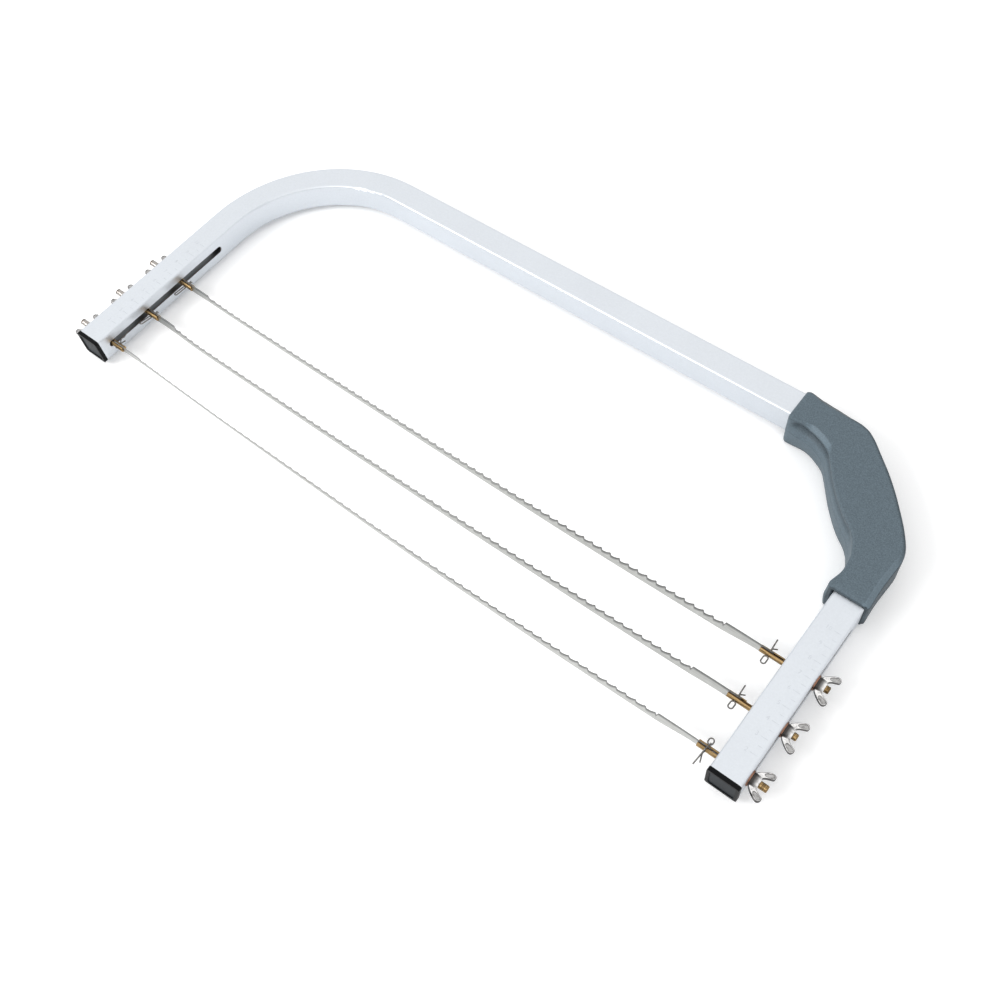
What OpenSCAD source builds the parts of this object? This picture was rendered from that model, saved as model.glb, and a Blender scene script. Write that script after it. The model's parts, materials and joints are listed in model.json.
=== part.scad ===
// Cake leveler: a bent square tube that holds three serrated blades between
// its two arms. Each blade hangs between two slotted studs, which slide along
// slots in the arms and are pulled tight by wing nuts.
// Inner frame of the design: X = 0 is the left arm's outer face, Y = 0 is the
// face of the end caps, and Z = 0 is the middle plane of the tube. place()
// then moves everything so that the origin is under the middle of the object.

/* [Tube frame] */
// Width over the outer faces of the two arms
frame_w = 496; // [440:1:560]
// Depth from the faces of the end caps to the outer face of the back tube
frame_d = 222; // [200:1:260]
// Side of the square tube
tube_side = 18; // [15:0.5:22]
// Wall of the tube
tube_wall = 1.2; // [0.8:0.1:2]
// Radius of the tube's long edges
tube_edge_r = 1.4; // [1:0.1:2.2]
// Radius of the wide left bend, at its outer face
left_bend_r = 95; // [80:1:105]
// Radius of the two bends inside the grip, at the centre line
grip_bend_r = 45; // [40:1:50]
// How far the grip's diagonal cuts off the corner, along each centre line
corner_cut = 55; // [50:1:62]

/* [Arm slots] */
// Width of the slots that the studs slide in
slot_w = 4.8; // [4.3:0.1:5.5]
// Distance from the cap faces to the centre of a slot's round near end
slot_near = 11; // [10:0.5:16]
// Distance from the cap faces to the centre of a slot's round far end
slot_far = 108; // [98:1:115]

/* [End caps] */
// Thickness of a cap's flange
cap_flange = 2.6; // [1.6:0.1:4]
// How far the flange stands out past the tube on each side
cap_lip = 0.25; // [0.1:0.05:0.8]
// Length of the plug inside the tube
cap_plug = 5.4; // [3:0.1:5.6]
// Depth of the square recess in the cap's face
cap_recess = 0.5; // [0.2:0.1:1]

/* [Grip] */
// Half thickness of the grip, from the middle plane to its flat panel
grip_half = 12.5; // [12:0.25:15]
// Length of the grip on the straight back tube
grip_back = 12; // [8:0.5:20]
// Length of the grip on the straight arm
grip_arm = 19.5; // [14:0.5:26]
// Radius of the grip's outer long edges
grip_outer_r = 4; // [2:0.25:5]
// Radius of the long edges on the finger side
grip_inner_r = 2; // [1:0.25:3]
// Diameter of the grip screws' shanks
screw_d = 3; // [2.5:0.1:3.2]
// Diameter of the grip screws' heads
screw_head_d = 5; // [4:0.1:5.2]
// Thickness of the screw heads
screw_head_h = 1.8; // [1.2:0.1:2.5]

/* [Blades] */
// Distance from the cap faces to the first blade
blade_first = 11.8; // [11:0.1:20]
// Distance from one blade to the next
blade_pitch = 31; // [30:0.5:36]
// Full width of a blade at its plain ends
blade_w = 6.5; // [5:0.1:8]
// Thickness of a blade
blade_t = 0.6; // [0.4:0.05:0.8]
// Distance between teeth
tooth_pitch = 6; // [4:0.25:10]
// Depth of the scallops
tooth_depth = 1.5; // [0.6:0.1:2.2]
// How far the tooth points lie under the plain edge
tooth_drop = 0.9; // [0.2:0.1:1.4]
// Plain stretch from the left arm to the first tooth
plain_left = 26; // [20:1:40]
// Plain stretch from the last tooth to the right arm
plain_right = 37; // [28:1:50]
// Lean of the first blade's toothed edge towards the back tube, in degrees
blade_lean_1 = 4; // [-12:1:16]
// The same for the second blade
blade_lean_2 = 10; // [-12:1:16]
// The same for the third blade
blade_lean_3 = -2; // [-12:1:16]

/* [Studs and nuts] */
// Diameter of the studs
stud_d = 4; // [3.6:0.1:4.2]
// Full length of a stud
stud_len = 40.4; // [38:0.1:46]
// How far the left studs reach past the arm's inner face
head_left = 9.8; // [9:0.1:12]
// How far the third blade's right stud reaches past the arm's inner face
head_right_low = 12.3; // [11:0.1:14.5]
// The same for the first and second blades
head_right = 14.5; // [11:0.1:15]
// Depth of the slot in a stud
stud_slot = 13; // [9:0.1:14]
// Play of a blade in its stud's slot, on each side
blade_play = 0.1; // [0.05:0.05:0.15]
// Distance from a stud's end to its split pin
pin_back = 5; // [4:0.1:5.5]
// Diameter of a split pin's shank
pin_d = 1.1; // [0.8:0.1:1.2]
// Play of the pin in its holes, all round
pin_play = 0.1; // [0.05:0.05:0.15]
// Diameter of the washers
washer_d = 9; // [8.5:0.1:10]
// Thickness of the washers
washer_t = 0.8; // [0.5:0.1:1.2]
// Height of a wing nut's hub
hub_h = 4.6; // [3.6:0.1:5.2]
// Diameter of the hub at its foot
hub_d = 8; // [7:0.1:8.4]
// Reach of the wings to each side of the stud
wing_reach = 9.5; // [8.5:0.1:10.2]
// Height of the wings over the washer
wing_h = 9.6; // [8:0.1:10.5]
// Thickness of the wings
wing_t = 1.8; // [1.2:0.1:2.4]
// Running clearance of the nuts on the studs, all round
thread_play = 0.05; // [0.03:0.01:0.09]

/* [Hidden] */
$fn = 48;
SIDES = ["left", "right"];
BLADES = [1, 2, 3];

half = tube_side / 2;
inside = tube_side - 2 * tube_wall;
inner_edge_r = max(tube_edge_r - tube_wall, 0.3);
cap_rim = 1.8;
plug_play = 0.05;
plug_wall = 1.5;

// The tube's centre line through the grip: straight back tube, bend,
// diagonal, bend, straight arm.
back_y = frame_d - half;
arm_x = frame_w - half;
bend_tangent = grip_bend_r * tan(22.5);
bend_arc = grip_bend_r * PI / 4;
back_end_x = arm_x - corner_cut - bend_tangent;
arm_end_y = back_y - corner_cut - bend_tangent;
diagonal = corner_cut * sqrt(2) - 2 * bend_tangent;
bend_1 = [back_end_x, back_y - grip_bend_r];
bend_2 = [arm_x - grip_bend_r, arm_end_y];
diagonal_start = bend_1 + grip_bend_r * [cos(45), sin(45)];
grip_len = grip_back + 2 * bend_arc + diagonal + grip_arm;

// Studs: where each stud's blade end lies, and how far its nut end stands out
function blade_y(b) = blade_first + (3 - b) * blade_pitch;
function blade_lean(b) = [blade_lean_1, blade_lean_2, blade_lean_3][b - 1];
function head_out(side, b) = side == "left" ? head_left : b == 3 ? head_right_low : head_right;
function stud_tip(side, b) = stud_len - tube_side - head_out(side, b);
nut_out = washer_t + wing_h;
reach_left = max(nut_out, stud_tip("left", 1));
reach_right = max(nut_out, stud_tip("right", 3), stud_tip("right", 1));
pin_past = 2.4;
cut = 1;
core_lap = 0.05;
core_ease = 0.02;
screw_play = 0.1;
screw_head_gap = 0.2;
screw_head_deep = 2.4;
screw_wall = 0.9;
screw_reach = 7;
cross_len = 2.6;
cross_w = 0.7;
cross_deep = 1;
washer_play = 0.15;
hub_taper = 1.6;
pin_foot = stud_d / 2 + 0.3;
tooth_lead = 1;
WIRE_FACETS = 24;
tip_chamfer = 0.4;
wire_d = 0.8;
bend_d = 1;
jaw_from = 10;
jaw_web = 1.2;
jaw_len = 3.6;
panel_deep = 0.3;

module place() {
    translate([-mid_x, -mid_y, grip_half]) children();
}

// Square profile with round corners, made of squares and circles so that its
// curves stay true
module rounded_square(side, r) {
    square([side, side - 2 * r], center = true);
    square([side - 2 * r, side], center = true);
    for (x = [-1, 1], y = [-1, 1])
        translate([x, y] * (side / 2 - r)) circle(r);
}

module tube_profile() {
    difference() {
        rounded_square(tube_side, tube_edge_r);
        rounded_square(inside, inner_edge_r);
    }
}

// A straight run along the tube from a point, in a direction, of the
// profile that it is given
module run(from, heading, length) {
    translate([from.x, from.y, 0]) rotate([0, 0, heading]) rotate([90, 0, 90])
        linear_extrude(length) children();
}

// A bend of the given profile about a centre, from an angle through a sweep
module bend(centre, r, from, sweep) {
    translate([centre.x, centre.y, 0]) rotate([0, 0, from])
        rotate_extrude(angle = sweep, $fn = 96) translate([r, 0]) children();
}

// The corner: bend, diagonal, bend and a length of the arm, each chained to
// the one before. The straight runs have the first profile given and the
// bends the second, and the runs reach into the bends by lap.
module corner_path(arm_length, lap) {
    translate([bend_1.x, bend_1.y, 0]) rotate([0, 0, 45]) {
        bend([0, 0], grip_bend_r, 0, 45) children(1);
        translate([grip_bend_r, lap, 0]) rotate([90, 0, 0])
            linear_extrude(diagonal + 2 * lap) children(0);
        translate([0, -diagonal, 0]) rotate([0, 0, -45]) {
            bend([0, 0], grip_bend_r, 0, 45) children(1);
            translate([grip_bend_r, lap, 0]) rotate([90, 0, 0])
                linear_extrude(arm_length + lap) children(0);
        }
    }
}

// The space in the grip for the tube, a hair wider in its bends
module grip_core() {
    run([back_end_x - grip_back - cut, back_y], 0, grip_back + cut + core_lap)
        rounded_square(tube_side, tube_edge_r);
    corner_path(grip_arm + cut, core_lap) {
        rounded_square(tube_side, tube_edge_r);
        rounded_square(tube_side + core_ease, tube_edge_r);
    }
}

// A slot through both walls of an arm
module arm_slot(x) {
    translate([x - cut, slot_near, -slot_w / 2])
        cube([tube_side + 2 * cut, slot_far - slot_near, slot_w]);
    for (y = [slot_near, slot_far])
        translate([x - cut, y, 0]) rotate([0, 90, 0])
            cylinder(d = slot_w, h = tube_side + 2 * cut);
}

module frame_tube() {
    left_bend_c = left_bend_r - half;
    color("lightsteelblue") place() difference() {
        union() {
            run([half, cap_flange], 90, frame_d - left_bend_r - cap_flange) tube_profile();
            bend([left_bend_r, frame_d - left_bend_r], left_bend_c, 90, 90) tube_profile();
            run([left_bend_r, back_y], 0, back_end_x - left_bend_r) tube_profile();
            corner_path(arm_end_y - cap_flange, 0) {
                tube_profile();
                tube_profile();
            }
        }
        arm_slot(0);
        arm_slot(frame_w - tube_side);
    }
}

module end_cap(x) {
    flange = tube_side + 2 * cap_lip;
    color("dimgray") place() translate([x, 0, 0]) rotate([-90, 0, 0]) difference() {
        union() {
            linear_extrude(cap_flange) rounded_square(flange, tube_edge_r + cap_lip);
            linear_extrude(cap_flange + cap_plug) rounded_square(inside - 2 * plug_play, inner_edge_r);
        }
        translate([0, 0, -cut]) linear_extrude(cap_recess + cut)
            rounded_square(flange - 2 * cap_rim, tube_edge_r);
        translate([0, 0, cap_flange]) linear_extrude(cap_plug + cut)
            rounded_square(inside - 2 * plug_wall, inner_edge_r);
    }
}

module left_end_cap() {
    end_cap(half);
}

module right_end_cap() {
    end_cap(arm_x);
}

// Walls of the grip past the tube, at shares of the grip's length: outer
// side, finger side at the middle plane, and finger side at the flat panel
WALLS = [
    [0.00, 0.6, 5.0, 3.6], [0.03, 1.0, 5.8, 3.6], [0.09, 0.6, 6.2, 2.2], [0.16, 0.8, 6.6, 2.5],
    [0.22, 2.4, 6.5, 3.0], [0.28, 5.0, 6.7, 3.8], [0.32, 5.8, 7.1, 4.6], [0.40, 5.7, 8.0, 6.4],
    [0.50, 5.7, 8.4, 7.9], [0.58, 5.3, 8.3, 8.2], [0.64, 4.9, 7.8, 7.8], [0.70, 4.7, 6.6, 6.4],
    [0.75, 5.0, 5.2, 5.0], [0.79, 4.2, 4.2, 3.8], [0.84, 2.0, 3.2, 2.4], [0.88, 1.4, 3.2, 1.8],
    [0.92, 1.8, 4.8, 2.6], [0.95, 2.4, 6.2, 4.4], [0.98, 3.0, 6.2, 5.2], [1.00, 2.6, 5.6, 4.6]];
function wall(share, i) = half + lookup(share, [for (w = WALLS) [w[0], w[i]]]);

// Point and outward direction of the tube's centre line, at a length
function spine(s) =
    let (a = s - grip_back, d = a - bend_arc, b = d - diagonal, e = b - bend_arc)
    a < 0 ? [[back_end_x + a, back_y], 90] :
    d < 0 ? let (t = 90 - 45 * a / bend_arc) [bend_1 + grip_bend_r * [cos(t), sin(t)], t] :
    b < 0 ? [diagonal_start + d * [cos(45), -sin(45)], 45] :
    e < 0 ? let (t = 45 - 45 * b / bend_arc) [bend_2 + grip_bend_r * [cos(t), sin(t)], t] :
    [[arm_x, arm_end_y - e], 0];

// One quarter round of a section's corner, from an angle through 90 degrees
CORNER_STEPS = 4;
function corner(c, r, from) =
    [for (i = [0 : CORNER_STEPS]) c + r * [cos(from - 90 * i / CORNER_STEPS), sin(from - 90 * i / CORNER_STEPS)]];

// Upper half of the grip's section: finger side, flat panel, outer side.
// The end sections are drawn in, which rounds the grip's ends.
function section(share, tuck) =
    let (out = wall(share, 1) - tuck, mid = wall(share, 2) - tuck, top = wall(share, 3) - tuck,
         h = grip_half - tuck)
    concat([[-mid, 0]],
        corner([-top + grip_inner_r, h - grip_inner_r], grip_inner_r, 180),
        corner([out - grip_outer_r, h - grip_outer_r], grip_outer_r, 90),
        [[out, 0]]);

GRIP_RINGS = 44;
function tuck(i) = i == 0 || i == GRIP_RINGS ? 1.0 : 0;
function ring_share(i) = i == 0 ? 0 : i == GRIP_RINGS ? 1 : (i - 0.6) / (GRIP_RINGS - 1.2);
function ring(i, up) =
    let (share = ring_share(i), at = spine(share * grip_len), pts = section(share, tuck(i)))
    [for (p = pts) [at[0].x + p.x * cos(at[1]), at[0].y + p.x * sin(at[1]), up * p.y]];

// Outermost points of the grip, one for each ring
function grip_outer_line() =
    [for (i = [0 : GRIP_RINGS])
        let (share = ring_share(i), at = spine(share * grip_len), out = wall(share, 1) - tuck(i))
        at[0] + out * [cos(at[1]), sin(at[1])]];

// Middle of the object's extents, which the origin lies under
mid_x = (max(frame_w + reach_right, max([for (p = grip_outer_line()) p.x])) - reach_left) / 2;
mid_y = max([for (p = grip_outer_line()) p.y]) / 2;

// Half of the grip's body as one closed skin, above or below the middle plane
module grip_half_body(up) {
    rings = [for (i = [0 : GRIP_RINGS]) ring(i, up)];
    n = len(rings[0]);
    function at(i, k) = i * n + k;
    sides = [for (i = [0 : GRIP_RINGS - 1], k = [0 : n - 1], t = [0, 1])
        let (j = (k + 1) % n)
        t == 0 ? [at(i, k), at(i + 1, k), at(i + 1, j)] : [at(i, k), at(i + 1, j), at(i, j)]];
    first = [for (k = [1 : n - 2]) [at(0, 0), at(0, k), at(0, k + 1)]];
    last = [for (k = [1 : n - 2]) [at(GRIP_RINGS, 0), at(GRIP_RINGS, k + 1), at(GRIP_RINGS, k)]];
    faces = concat(sides, first, last);
    polyhedron([for (r = rings, p = r) p], up > 0 ? faces : [for (f = faces) [f[2], f[1], f[0]]]);
}

// Grip screws stand beside the tube, in the thick finger side of the diagonal
SCREW_SHARES = [0.41, 0.54, 0.66];
screw_side = half + screw_wall + screw_head_d / 2;
screw_face = grip_half - screw_head_deep;

module at_screws() {
    for (share = SCREW_SHARES)
        let (s = spine(share * grip_len))
        translate([s[0].x - screw_side * cos(s[1]), s[0].y - screw_side * sin(s[1]), 0]) children();
}

module front_grip_shell() {
    color("slategray") place() difference() {
        grip_half_body(1);
        grip_core();
        at_screws() translate([0, 0, -cut]) cylinder(d = screw_d, h = screw_reach + cut);
    }
}

module back_grip_shell() {
    color("slategray") place() difference() {
        grip_half_body(-1);
        grip_core();
        at_screws() {
            translate([0, 0, -grip_half]) cylinder(d = screw_d + 2 * screw_play, h = grip_half + cut);
            translate([0, 0, -grip_half - cut])
                cylinder(d = screw_head_d + 2 * screw_head_gap, h = screw_head_deep + screw_head_h + cut);
        }
    }
}

// Pan-head screws with a cross of two slots, driven from the underside
module grip_screws() {
    top = screw_head_h - screw_face;
    color("silver") place() at_screws() difference() {
        union() {
            translate([0, 0, -screw_face]) cylinder(d = screw_head_d, h = screw_head_h);
            translate([0, 0, top - cut]) cylinder(d = screw_d, h = screw_reach - top + cut);
        }
        for (turn = [0, 90])
            rotate([0, 0, turn]) translate([-cross_len / 2, -cross_w / 2, -screw_face - cut])
                cube([cross_len, cross_w, cross_deep + cut]);
    }
}

// Moves to a blade's axis, where X = 0 stays the left arm's outer face and
// Z leans with the blade
module on_blade(b) {
    place() translate([0, blade_y(b), 0]) rotate([-blade_lean(b), 0, 0]) children();
}

// Moves to the free end of a stud's head, with +X pointing to its nut
module on_head(side, b) {
    if (side == "left")
        translate([tube_side + head_out(side, b), 0, 0]) mirror([1, 0, 0]) children();
    else
        translate([frame_w - tube_side - head_out(side, b), 0, 0]) children();
}

// Serrated edge: each tooth rises in a hollow curve and drops off steeply
TOOTH = [[0.00, 0.00], [0.22, 0.04], [0.42, 0.20], [0.60, 0.48], [0.76, 0.85], [0.84, 1.00], [0.90, 0.90]];

module blade(b) {
    x0 = tube_side + head_out("left", b) - pin_back - pin_past;
    x1 = frame_w - tube_side - head_out("right", b) + pin_back + pin_past;
    edge = blade_w / 2;
    teeth_end = frame_w - tube_side - plain_right;
    teeth = floor((teeth_end - tube_side - plain_left) / tooth_pitch);
    teeth_start = teeth_end - teeth * tooth_pitch;
    root = edge - tooth_drop - tooth_depth;
    outline = concat(
        [[x0, -edge], [x1, -edge], [x1, edge], [teeth_end + tooth_lead, edge], [teeth_end, root]],
        [for (i = [teeth - 1 : -1 : 0], k = [len(TOOTH) - 1 : -1 : 0])
            [teeth_start + (i + TOOTH[k][0]) * tooth_pitch, root + TOOTH[k][1] * tooth_depth]],
        [[teeth_start - tooth_lead, edge], [x0, edge]]);
    hole = pin_d + 2 * pin_play;
    color("gainsboro") on_blade(b) difference() {
        rotate([90, 0, 0]) translate([0, 0, -blade_t / 2]) linear_extrude(blade_t) polygon(outline);
        for (x = [x0 + pin_past, x1 - pin_past])
            translate([x, cut, 0]) rotate([90, 0, 0]) cylinder(d = hole, h = 2 * cut);
    }
}

// Brass stud, slotted for the blade and cross-drilled for the split pin. On
// the second right stud the slot ends early and one jaw is milled off behind it.
module stud(side, b) {
    milled = side == "right" && b == 2;
    slot = milled ? jaw_from - jaw_web : stud_slot;
    gap = blade_t + 2 * blade_play;
    color("peru") on_blade(b) on_head(side, b) difference() {
        rotate([0, 90, 0]) union() {
            cylinder(d = stud_d, h = stud_len - tip_chamfer);
            translate([0, 0, stud_len - tip_chamfer])
                cylinder(d1 = stud_d, d2 = stud_d - 2 * tip_chamfer, h = tip_chamfer);
        }
        translate([-cut, -gap / 2, -stud_d]) cube([slot + cut, gap, 2 * stud_d]);
        translate([pin_back, stud_d, 0]) rotate([90, 0, 0])
            cylinder(d = pin_d + 2 * pin_play, h = 2 * stud_d);
        if (milled)
            translate([jaw_from, gap / 2, -stud_d]) cube([jaw_len, stud_d, 2 * stud_d]);
    }
}

// Round wire along a list of points, with a small swell at each bend
module wire(points) {
    if (len(points) > 2)
        for (i = [1 : len(points) - 2]) translate(points[i]) sphere(d = bend_d, $fn = WIRE_FACETS);
    for (i = [0 : len(points) - 2])
        let (d = points[i + 1] - points[i])
        translate(points[i]) rotate([0, acos(d.z / norm(d)), atan2(d.y, d.x)])
            cylinder(d = wire_d, h = norm(d), $fn = WIRE_FACETS);
}

// Eye of a split pin: two half rings joined by straight wires. It starts at
// Y = 0 and lies towards -Y.
module eye(width, length) {
    r = (width - wire_d) / 2;
    near = -r - wire_d / 2;
    far = near - (length - width);
    translate([0, near, 0]) rotate_extrude(angle = 180) translate([r, 0]) circle(d = wire_d, $fn = WIRE_FACETS);
    translate([0, far, 0]) rotate([0, 0, 180])
        rotate_extrude(angle = 180) translate([r, 0]) circle(d = wire_d, $fn = WIRE_FACETS);
    for (x = [-r, r])
        translate([x, near, 0]) rotate([90, 0, 0]) cylinder(d = wire_d, h = near - far, $fn = WIRE_FACETS);
}

// Split pin through a stud. In its own frame Y = 0 is the stud's axis, the
// eye is on the -Y side, and the legs are lists of points on the +Y side.
module split_pin(eye_w, eye_l, legs, flip = 0) {
    mirror([0, flip, 0]) {
        translate([0, -pin_foot, 0]) rotate([-90, 0, 0]) cylinder(d = pin_d, h = 2 * pin_foot, $fn = WIRE_FACETS);
        if (eye_l > 0) translate([0, -pin_foot + wire_d / 2, 0]) eye(eye_w, eye_l);
        for (leg = legs) wire(concat([[0, pin_foot - wire_d / 2, 0]], leg));
    }
}

RIGHT_LEGS = [[[-0.4, 9.2, 0.4]], [[0.4, 3.2, 0], [2.6, 4.6, -0.2]]];
SHORT_LEGS = [[[-0.7, 3.8, 0]], [[0.8, 3.7, 0]]];
WAVY_LEGS = [[[-1.6, 3.4, 0.1], [-2.6, 5.0, 0.2], [-1.9, 7.0, 0.3], [-3.6, 11.6, 0]],
    [[0.7, 5.4, -0.2]]];
CROSSED_LEGS = [[[-0.2, 3.6, 0], [1.4, 8.0, -0.4]]];
OVER_THE_TOP = [[1.45, 3.4, 0.2], [0.9, 1.9, 4], [0.2, -1.9, 4], [-0.3, -5.4, 1.6], [-1.0, -10.8, 0]];

module cotter(side, b) {
    color("dimgray") on_blade(b) on_head(side, b) translate([pin_back, 0, 0]) {
        if (side == "left" && b == 3) mirror([1, 0, 0]) split_pin(0, 0, WAVY_LEGS);
        else if (side == "left") split_pin(2.6, 9.6, SHORT_LEGS);
        else if (b == 3) {
            split_pin(3.6, 4.4, CROSSED_LEGS, 1);
            wire(OVER_THE_TOP);
        }
        else split_pin(3.5, 5.6, RIGHT_LEGS);
    }
}

// Moves to an arm's outer face at a blade, with +Z pointing away from the arm
module on_face(side, b) {
    place() translate([side == "left" ? 0 : frame_w, blade_y(b), 0])
        rotate([0, side == "left" ? -90 : 90, 0]) children();
}

module washer(side, b) {
    color("silver") on_face(side, b) difference() {
        cylinder(d = washer_d, h = washer_t);
        translate([0, 0, -cut]) cylinder(d = stud_d + 2 * washer_play, h = washer_t + 2 * cut);
    }
}

// Outline of one wing: along the reach and up from the washer
function wing_outline() = let (r = wing_reach, h = wing_h) [
    [0, 0.15 * h], [0.42 * r, 0.01 * h], [0.58 * r, 0.15 * h], [0.74 * r, 0.35 * h], [0.88 * r, 0.56 * h],
    [0.97 * r, 0.71 * h], [r, 0.79 * h], [0.985 * r, 0.85 * h], [0.80 * r, 0.98 * h], [0.72 * r, h],
    [0.65 * r, 0.97 * h], [0.56 * r, 0.76 * h], [0.46 * r, 0.56 * h], [0.38 * r, 0.47 * h], [0, 0.47 * h]];

// Shallow panel pressed into each side of a wing, near its tip
function wing_panel() = let (r = wing_reach, h = wing_h) [
    [0.66 * r, 0.52 * h], [0.80 * r, 0.66 * h], [0.90 * r, 0.79 * h], [0.75 * r, 0.90 * h],
    [0.70 * r, 0.87 * h], [0.62 * r, 0.66 * h]];

// Turn of each wing nut about its stud at rest, in degrees
function nut_turn(side, b) = side == "left" ? 0 : [-4, -2, -14][b - 1];

module wing() {
    rotate([0, 0, 90]) rotate([90, 0, 0]) difference() {
        translate([0, 0, -wing_t / 2]) linear_extrude(wing_t) polygon(wing_outline());
        for (z = [-wing_t / 2 - cut, wing_t / 2 - panel_deep])
            translate([0, 0, z]) linear_extrude(panel_deep + cut) polygon(wing_panel());
    }
}

module wing_nut(side, b) {
    bore = stud_d + 2 * thread_play;
    color("lightgray") on_face(side, b) translate([0, 0, washer_t])
        rotate([0, 0, nut_turn(side, b)]) difference() {
            union() {
                cylinder(d1 = hub_d, d2 = hub_d - hub_taper, h = hub_h);
                for (m = [0, 1]) mirror([0, m, 0]) wing();
            }
            translate([0, 0, -cut]) cylinder(d = bore, h = wing_h + 2 * cut);
        }
}

frame_tube();
front_grip_shell();
back_grip_shell();
grip_screws();
left_end_cap();
right_end_cap();
for (b = BLADES) {
    blade(b);
    for (s = SIDES) {
        stud(s, b);
        cotter(s, b);
        washer(s, b);
        wing_nut(s, b);
    }
}
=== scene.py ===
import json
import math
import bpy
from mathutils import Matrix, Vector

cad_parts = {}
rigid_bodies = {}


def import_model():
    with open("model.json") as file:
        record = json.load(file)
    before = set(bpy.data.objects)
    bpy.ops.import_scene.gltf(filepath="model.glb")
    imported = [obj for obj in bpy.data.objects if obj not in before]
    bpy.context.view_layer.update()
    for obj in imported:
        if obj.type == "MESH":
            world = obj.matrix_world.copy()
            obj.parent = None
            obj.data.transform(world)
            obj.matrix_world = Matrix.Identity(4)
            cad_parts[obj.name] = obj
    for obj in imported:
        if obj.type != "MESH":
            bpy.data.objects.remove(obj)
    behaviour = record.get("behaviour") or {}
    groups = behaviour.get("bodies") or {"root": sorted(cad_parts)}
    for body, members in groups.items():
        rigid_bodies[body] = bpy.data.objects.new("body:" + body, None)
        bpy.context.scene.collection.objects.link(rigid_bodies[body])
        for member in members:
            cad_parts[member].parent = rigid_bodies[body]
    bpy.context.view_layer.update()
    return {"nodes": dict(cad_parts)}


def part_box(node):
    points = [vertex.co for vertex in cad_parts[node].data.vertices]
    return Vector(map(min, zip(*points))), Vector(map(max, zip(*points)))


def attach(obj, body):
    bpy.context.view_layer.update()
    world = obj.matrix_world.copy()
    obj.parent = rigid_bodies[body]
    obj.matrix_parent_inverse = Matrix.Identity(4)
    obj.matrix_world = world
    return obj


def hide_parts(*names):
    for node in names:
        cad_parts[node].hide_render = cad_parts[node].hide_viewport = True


bl_info = {
    "name": "Cake Leveler Finish",
    "version": (1, 0, 0),
    "blender": (4, 5, 0),
    "location": "3D View > Sidebar > Cake Leveler",
    "description": "Dresses a packed cake leveler: tube, grip, blades, studs, washers, wing nuts and stage",
    "category": "Add Mesh",
}

import bmesh
import bpy
from bpy.props import FloatProperty, FloatVectorProperty, PointerProperty
from mathutils import Matrix, Vector

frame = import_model()

MM = 0.001
BLADES = (1, 2, 3)
SIDES = ("left", "right")
TUBE_LOW, TUBE_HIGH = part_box("frame_tube")
TUBE_TOP = TUBE_HIGH.z
TUBE_MID = (TUBE_LOW.z + TUBE_HIGH.z) / 2
TUBE_SIDE = TUBE_HIGH.z - TUBE_LOW.z
# X of the arms' outer faces, Y of the end caps' faces, and Y of each blade's studs
LEFT_FACE = TUBE_LOW.x
RIGHT_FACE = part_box("washer_right_1")[0].x
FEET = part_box("left_end_cap")[0].y
BLADE_LINE = {b: sum(corner.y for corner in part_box(f"washer_left_{b}")) / 2 for b in BLADES}


# ------------------------------------------------------------ settings
class LevelerSizes(bpy.types.PropertyGroup):
    blade_bow: FloatProperty(name="Blade bow", description="How far the slackest blade bows towards the feet",
                             default=0.0032, subtype="DISTANCE", unit="LENGTH")
    petal_bevel: FloatProperty(name="Petal rounding", description="Rounding of a wing nut's petal edges",
                               default=0.0004, subtype="DISTANCE", unit="LENGTH")
    tick_pitch: FloatProperty(name="Tick pitch", description="Distance between the scale's long ticks",
                              default=0.01, subtype="DISTANCE", unit="LENGTH")
    tick_length: FloatProperty(name="Tick length", description="Length of a long tick",
                               default=0.0042, subtype="DISTANCE", unit="LENGTH")
    grain: FloatProperty(name="Grip grain", description="Size of the grain moulded in the grip",
                         default=0.0007, subtype="DISTANCE", unit="LENGTH")


class LevelerColours(bpy.types.PropertyGroup):
    aluminium: FloatVectorProperty(name="Aluminium", description="Colour of the tube", subtype="COLOR",
                                   size=4, default=(0.775, 0.81, 0.852, 1))
    grip: FloatVectorProperty(name="Grip", description="Colour of the grip's plastic", subtype="COLOR",
                              size=4, default=(0.104, 0.138, 0.162, 1))
    cap: FloatVectorProperty(name="End caps", description="Colour of the end caps", subtype="COLOR",
                             size=4, default=(0.004, 0.0045, 0.005, 1))
    blade: FloatVectorProperty(name="Blades", description="Colour of the blades' steel", subtype="COLOR",
                               size=4, default=(0.62, 0.62, 0.60, 1))
    brass: FloatVectorProperty(name="Brass", description="Colour of the studs", subtype="COLOR",
                               size=4, default=(0.47, 0.32, 0.15, 1))
    pin: FloatVectorProperty(name="Split pins", description="Colour of the split pins", subtype="COLOR",
                             size=4, default=(0.19, 0.18, 0.17, 1))
    nickel: FloatVectorProperty(name="Nickel", description="Colour of the nuts and washers", subtype="COLOR",
                                size=4, default=(0.88, 0.87, 0.86, 1))


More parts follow.
